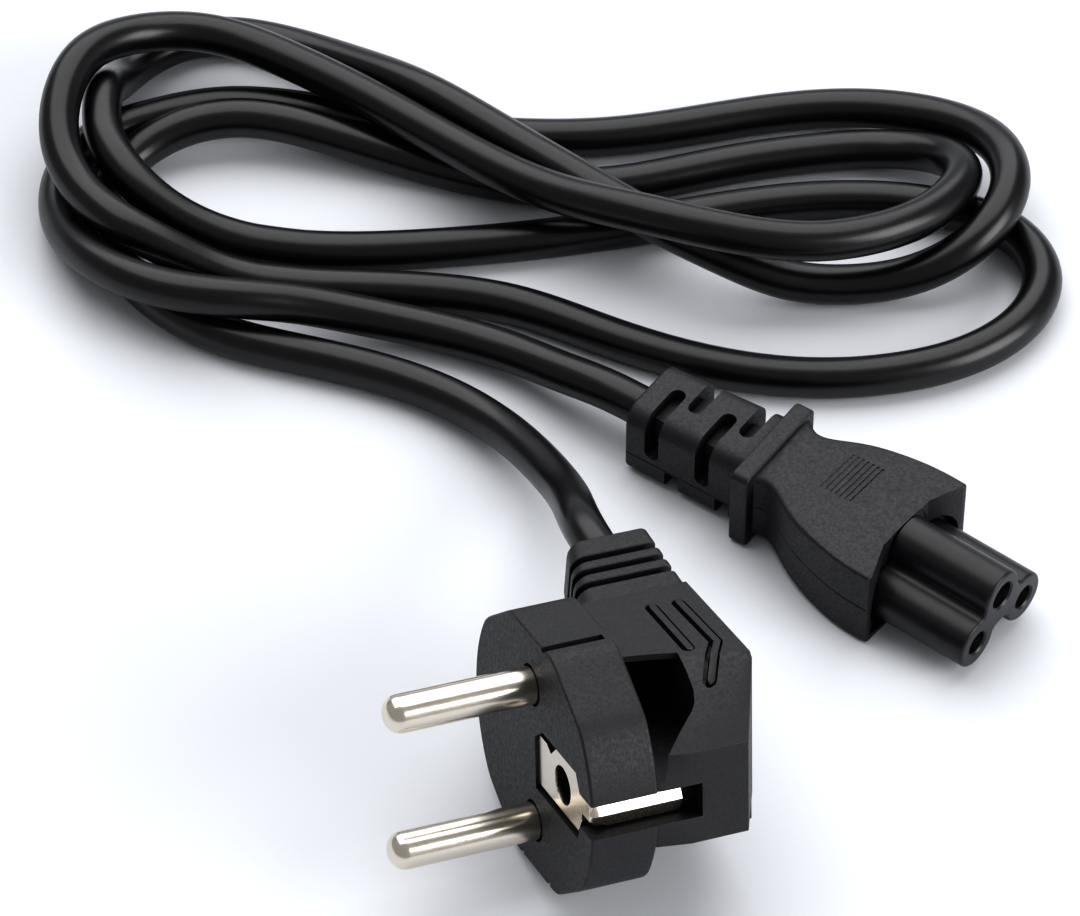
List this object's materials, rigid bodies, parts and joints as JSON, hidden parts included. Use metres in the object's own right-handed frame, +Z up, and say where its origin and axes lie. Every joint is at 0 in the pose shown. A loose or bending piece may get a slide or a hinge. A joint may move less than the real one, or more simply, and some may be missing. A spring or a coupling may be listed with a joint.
{
  "type": "cloverleaf power cord",
  "caption": "Black mains lead with an angled round-pin earthed plug, a loosely folded round cord and a cloverleaf appliance connector.",
  "frame": {"origin": "bottom centre of the box around the plug and the connector, on the floor they lie on", "axes": "Z up from the floor; Y away from the viewer, from the plug towards the folded cord; X to the viewer's right"},
  "size_m": [0.1372, 0.1646, 0.0363],
  "materials": {
    "plug_body": "moulded black PVC, fine matt texture",
    "line_pin": "nickel-plated brass, bright turned",
    "neutral_pin": "nickel-plated brass, bright turned",
    "earth_contact": "nickel-plated brass strip, stamped",
    "cord": "extruded black PVC jacket, glossy",
    "connector_body": "moulded black PVC, fine matt texture",
    "connector_insert": "injection-moulded black plastic, semi-gloss",
    "line_sleeve": "nickel-plated brass, formed tube",
    "neutral_sleeve": "nickel-plated brass, formed tube",
    "earth_sleeve": "nickel-plated brass, formed tube"
  },
  "bodies": {
    "root": {"plug_body": "plug_body", "line_pin": "line_pin", "neutral_pin": "neutral_pin", "earth_contact": "earth_contact", "cord": "cord", "connector_body": "connector_body", "connector_insert": "connector_insert", "line_sleeve": "line_sleeve", "neutral_sleeve": "neutral_sleeve", "earth_sleeve": "earth_sleeve"}
  },
  "joints": []
}
